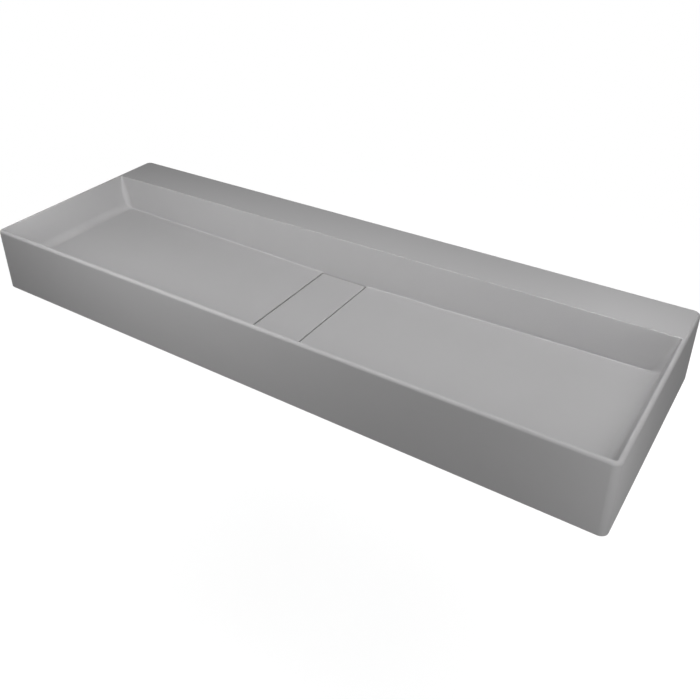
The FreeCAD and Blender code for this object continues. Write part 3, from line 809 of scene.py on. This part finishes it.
# %% [markdown]
# The tail is a plastic moulding: a collar with a funnel mouth, a 1 1/4 inch pipe thread for the trap
# and a bridge across the bore that holds a brass insert for the screw. The collar and the tube are
# turned in one, and the ridge and the bridge are joined on, because they don't go round evenly.

# %% Make the tail
TAIL_RADIUS = 20.95 * MM
TAIL_ROOT = 19.48 * MM
TAIL_PITCH = 2.309 * MM
TAIL_ROUND = 0.6 * MM
BORE_RADIUS = 18 * MM
COLLAR_THICKNESS = 5 * MM
UPPER_PLAIN = 4 * MM
LOWER_PLAIN = 2 * MM
tail_low, tail_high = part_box("waste_body")
collar = (tail_high.x - tail_low.x) / 2
collar_top = Vector((0, waste.y, tail_high.z))
tail_depth = tail_high.z - tail_low.z
tail = turned("tail", [
    (WASTE_HOLE_RADIUS, 0), (collar, 0), (collar, -COLLAR_THICKNESS), (TAIL_ROOT, -COLLAR_THICKNESS),
    (TAIL_ROOT, -tail_depth), (BORE_RADIUS, -tail_depth), (BORE_RADIUS, -COLLAR_THICKNESS),
], collar_top, TAIL_ROUND, steps=96)
turns = (tail_depth - COLLAR_THICKNESS - UPPER_PLAIN - LOWER_PLAIN) / TAIL_PITCH
ridge_top = collar_top - Vector((0, 0, COLLAR_THICKNESS + UPPER_PLAIN))
join(tail, thread("tail_ridge", TAIL_ROOT, TAIL_RADIUS, TAIL_PITCH, turns, ridge_top), "UNION")
print("turns on the tail:", round(turns, 1))

# %% Bridge the tail's bore
BRIDGE_WIDTH = 14 * MM
BRIDGE_HEIGHT = 12 * MM
BRIDGE_EDGE = 1 * MM
INSERT_RADIUS = 4.5 * MM
bridge_top = tail_high.z - COLLAR_THICKNESS
wall_middle = (BORE_RADIUS + TAIL_ROOT) / 2
bridge = block("bridge", (-wall_middle, waste.y - BRIDGE_WIDTH / 2, bridge_top - BRIDGE_HEIGHT),
               (wall_middle, waste.y + BRIDGE_WIDTH / 2, bridge_top))
round_edges(bridge, BRIDGE_EDGE, lambda edge: runs_along(edge, "x"), segments=3)
join(tail, bridge, "UNION")
hole = disc("insert_hole", (0, waste.y, bridge_top), INSERT_RADIUS + HOLE_GAP, 4 * BRIDGE_HEIGHT, sides=48)
join(tail, hole, "DIFFERENCE")
finish_surface(tail)

# %% [markdown]
# Two flat rubber rings seal the joint above and below the sump floor, the insert has a groove that
# grips the bridge, and the bushes keep the steel studs off the casting. All are turned like the
# strainer, the bushes about an axis into the wall, and one bush is copied by an Array.

# %% Make the seals
UPPER_SEAL_ROUND = 0.6 * MM
LOWER_SEAL_ROUND = 0.9 * MM


def ring(name, node, inside, rounding):
    """Turn a flat ring that fills a node's box, from its top downwards."""
    low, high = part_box(node)
    outside = (high.x - low.x) / 2
    depth = high.z - low.z
    piece = turned(name, [(inside, 0), (outside, 0), (outside, -depth), (inside, -depth)],
                   (0, waste.y, high.z), rounding)
    finish_surface(piece)
    return piece


upper_seal = ring("upper_seal", "strainer_seal", WASTE_HOLE_RADIUS, UPPER_SEAL_ROUND)
lower_seal = ring("lower_seal", "body_seal", WASTE_HOLE_RADIUS, LOWER_SEAL_ROUND)

# %% Make the insert and the bushes
INSERT_BORE = SCREW_RADIUS + HOLE_GAP / 2
INSERT_ROUND = 0.25 * MM
GROOVE = 0.6 * MM
BUSH_BORE = 5.25 * MM
BUSH_FLANGE = 14 * MM
BUSH_FLANGE_THICKNESS = 3 * MM
BUSH_ROUND = 0.6 * MM

insert_low, insert_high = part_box("screw_insert")
third = (insert_high.z - insert_low.z) / 3
groove_radius = INSERT_RADIUS - GROOVE
insert = turned("insert", [
    (INSERT_BORE, 0), (INSERT_RADIUS, 0), (INSERT_RADIUS, -third), (groove_radius, -third),
    (groove_radius, -2 * third), (INSERT_RADIUS, -2 * third), (INSERT_RADIUS, -3 * third),
    (INSERT_BORE, -3 * third),
], (0, waste.y, insert_high.z), INSERT_ROUND, steps=48)
finish_surface(insert)

bush_low, bush_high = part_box("fixing_bushes")
bush_depth = bush_high.y - bush_low.y
flange_back = bush_depth - BUSH_FLANGE_THICKNESS
bushes = turned("bushes", [
    (BUSH_BORE, 0), (BUSH_RADIUS, 0), (BUSH_RADIUS, -flange_back), (BUSH_FLANGE, -flange_back),
    (BUSH_FLANGE, -bush_depth), (BUSH_BORE, -bush_depth),
], (-FIXING_HALF, 0, 0), BUSH_ROUND, steps=48, axis="y")
repeat(bushes, 2, (2 * FIXING_HALF, 0, 0))
finish_surface(bushes)

# %% [markdown]
# ## Surface effects
# Three effects serve several materials, so they are built once, as node groups: soft clouding with a
# fine grain for cast and moulded surfaces, and lathe lines for turned metal.

# %% Build the shared effects
VECTOR = "NodeSocketVector"
FLOAT = "NodeSocketFloat"
CLOUD_DETAIL = 3
GRAIN_DETAIL = 2
LINE_DETAIL = 4


def new_group(name, inputs, outputs):
    """Start a shader node group with named values in and out."""
    group = bpy.data.node_groups.new(name, "ShaderNodeTree")
    for label, kind in inputs:
        group.interface.new_socket(label, in_out="INPUT", socket_type=kind)
    for label in outputs:
        group.interface.new_socket(label, in_out="OUTPUT", socket_type=FLOAT)
    return group, group.nodes.new("NodeGroupInput"), group.nodes.new("NodeGroupOutput")


def add_noise(group, vector, scale, detail):
    """Add a noise texture whose scale comes from the group's input."""
    noise = group.nodes.new("ShaderNodeTexNoise")
    noise.inputs["Detail"].default_value = detail
    group.links.new(vector, noise.inputs["Vector"])
    group.links.new(scale, noise.inputs["Scale"])
    return noise.outputs["Fac"]


cast_skin, into, out = new_group(
    "cast_skin", [("Place", VECTOR), ("Cloud Scale", FLOAT), ("Grain Scale", FLOAT)], ["Cloud", "Grain"])
for label, detail in (("Cloud", CLOUD_DETAIL), ("Grain", GRAIN_DETAIL)):
    fac = add_noise(cast_skin, into.outputs["Place"], into.outputs[f"{label} Scale"], detail)
    cast_skin.links.new(fac, out.inputs[label])

lathe_lines, into, out = new_group("lathe_lines", [("Place", VECTOR), ("Line Scale", FLOAT)], ["Lines"])
flat = lathe_lines.nodes.new("ShaderNodeVectorMath")
flat.operation = "MULTIPLY"
flat.inputs[1].default_value = (1, 1, 0)
radius = lathe_lines.nodes.new("ShaderNodeVectorMath")
radius.operation = "LENGTH"
spread = lathe_lines.nodes.new("ShaderNodeCombineXYZ")
lathe_lines.links.new(into.outputs["Place"], flat.inputs[0])
lathe_lines.links.new(flat.outputs["Vector"], radius.inputs[0])
lathe_lines.links.new(radius.outputs["Value"], spread.inputs["X"])
fac = add_noise(lathe_lines, spread.outputs["Vector"], into.outputs["Line Scale"], LINE_DETAIL)
lathe_lines.links.new(fac, out.inputs["Lines"])
print("groups:", [group.name for group in (cast_skin, lathe_lines)])

# %% [markdown]
# ## Materials
# The casting is matte grey with a trace of violet, the faintest clouding and a fine dry grain. The
# other finishes are hidden under the cover or below the basin: spun steel, brass, pale plastics,
# silicone and black rubber. An effect's values drive the colour, the roughness and the fine relief.

# %% Helpers for finishes
def new_finish(name, **constants):
    """Start a material whose constants are set on the shader itself."""
    finish = bpy.data.materials.new(name)
    finish.use_nodes = True
    shader = finish.node_tree.nodes["Principled BSDF"]
    for label, constant in constants.items():
        shader.inputs[label.replace("_", " ")].default_value = constant
    return finish, finish.node_tree.nodes, finish.node_tree.links, shader


def add_effect(nodes, links, group, centre=(0, 0, 0), **scales):
    """Place a shared effect in a material, centred on a point of the object."""
    place = nodes.new("ShaderNodeTexCoord")
    centred = nodes.new("ShaderNodeMapping")
    centred.inputs["Location"].default_value = [-part for part in centre]
    effect = nodes.new("ShaderNodeGroup")
    effect.node_tree = group
    links.new(place.outputs["Object"], centred.inputs["Vector"])
    links.new(centred.outputs["Vector"], effect.inputs["Place"])
    for label, scale in scales.items():
        effect.inputs[label.replace("_", " ")].default_value = scale
    return effect


def colour_socket(sockets, name):
    """Find the colour socket of a Mix node, which has others of the same name."""
    return next(socket for socket in sockets if socket.name == name and socket.type == "RGBA")


def drive_colour(nodes, links, shader, mask, dark, light):
    """Let a mask move the base colour between two colours."""
    mix = nodes.new("ShaderNodeMix")
    mix.data_type = "RGBA"
    colour_socket(mix.inputs, "A").default_value = (*dark, 1)
    colour_socket(mix.inputs, "B").default_value = (*light, 1)
    links.new(mask, mix.inputs["Factor"])
    links.new(colour_socket(mix.outputs, "Result"), shader.inputs["Base Color"])


def drive_roughness(nodes, links, shader, mask, low, high):
    """Let a mask move the roughness between two values."""
    spread = nodes.new("ShaderNodeMapRange")
    spread.inputs["To Min"].default_value = low
    spread.inputs["To Max"].default_value = high
    links.new(mask, spread.inputs["Value"])
    links.new(spread.outputs["Result"], shader.inputs["Roughness"])


def drive_bump(nodes, links, shader, height, depth, strength):
    """Let a height raise fine relief of a given depth in metres."""
    bump = nodes.new("ShaderNodeBump")
    bump.inputs["Distance"].default_value = depth
    bump.inputs["Strength"].default_value = strength
    links.new(height, bump.inputs["Height"])
    links.new(bump.outputs["Normal"], shader.inputs["Normal"])


# %% Build the finishes
SKIN_DEPTH = 0.02 * MM
RUBBER_DEPTH = 0.03 * MM
SKIN_RELIEF = 0.4
LATHE_DEPTH = 0.01 * MM
LATHE_RELIEF = 0.3


def skin_finish(name, dark, light, cloud, grain, rough, depth=SKIN_DEPTH):
    """A cast or moulded surface: clouded colour, grained roughness and fine relief."""
    finish, nodes, links, shader = new_finish(name)
    skin = add_effect(nodes, links, cast_skin, Cloud_Scale=cloud, Grain_Scale=grain)
    drive_colour(nodes, links, shader, skin.outputs["Cloud"], dark, light)
    drive_roughness(nodes, links, shader, skin.outputs["Grain"], *rough)
    drive_bump(nodes, links, shader, skin.outputs["Grain"], depth, SKIN_RELIEF)
    return finish


def lathe_finish(name, dark, light, lines, rough):
    """A turned metal surface: fine rings round the waste's axis."""
    finish, nodes, links, shader = new_finish(name, Metallic=1)
    marks = add_effect(nodes, links, lathe_lines, centre=waste, Line_Scale=lines)
    drive_colour(nodes, links, shader, marks.outputs["Lines"], dark, light)
    drive_roughness(nodes, links, shader, marks.outputs["Lines"], *rough)
    drive_bump(nodes, links, shader, marks.outputs["Lines"], LATHE_DEPTH, LATHE_RELIEF)
    return finish


finishes = {
    "cast_mineral": skin_finish(
        "cast_mineral", dark=(0.367, 0.363, 0.367), light=(0.382, 0.378, 0.382),
        cloud=14, grain=1400, rough=(0.6, 0.75)),
    "bumper_silicone": skin_finish(
        "bumper_silicone", dark=(0.55, 0.56, 0.56), light=(0.64, 0.65, 0.65),
        cloud=200, grain=3000, rough=(0.5, 0.65)),
    "seal_rubber": skin_finish(
        "seal_rubber", dark=(0.018, 0.018, 0.019), light=(0.032, 0.032, 0.033),
        cloud=300, grain=2500, rough=(0.55, 0.75), depth=RUBBER_DEPTH),
    "stainless": lathe_finish(
        "stainless", dark=(0.5, 0.5, 0.49), light=(0.62, 0.62, 0.61),
        lines=2600, rough=(0.22, 0.38)),
    "tail_plastic": skin_finish(
        "tail_plastic", dark=(0.7, 0.7, 0.68), light=(0.77, 0.77, 0.75),
        cloud=90, grain=1800, rough=(0.35, 0.5)),
    "insert_brass": lathe_finish(
        "insert_brass", dark=(0.58, 0.4, 0.14), light=(0.74, 0.54, 0.22),
        lines=3000, rough=(0.25, 0.4)),
    "bush_plastic": skin_finish(
        "bush_plastic", dark=(0.74, 0.74, 0.72), light=(0.82, 0.82, 0.8),
        cloud=110, grain=1800, rough=(0.35, 0.5)),
}
print("finishes:", sorted(finishes))

# %% [markdown]
# ## Hand over
# Every piece takes its finish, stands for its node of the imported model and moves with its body:
# the cover and its bumpers lift out, and all the rest stays with the basin.

# %% Dress the pieces and join them to their bodies
for piece, node, body, finish in (
    (basin, "basin_body", "basin", "cast_mineral"),
    (cover, "drain_cover", "cover", "cast_mineral"),
    (bumpers, "cover_bumpers", "cover", "bumper_silicone"),
    (strainer, "waste_strainer", "basin", "stainless"),
    (screw, "strainer_screw", "basin", "stainless"),
    (upper_seal, "strainer_seal", "basin", "seal_rubber"),
    (lower_seal, "body_seal", "basin", "seal_rubber"),
    (tail, "waste_body", "basin", "tail_plastic"),
    (insert, "screw_insert", "basin", "insert_brass"),
    (bushes, "fixing_bushes", "basin", "bush_plastic"),
):
    piece.data.materials.clear()
    piece.data.materials.append(finishes[finish])
    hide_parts(node)
    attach(piece, body)
    print(f"{piece.name} stands for {node} and moves with {body}")
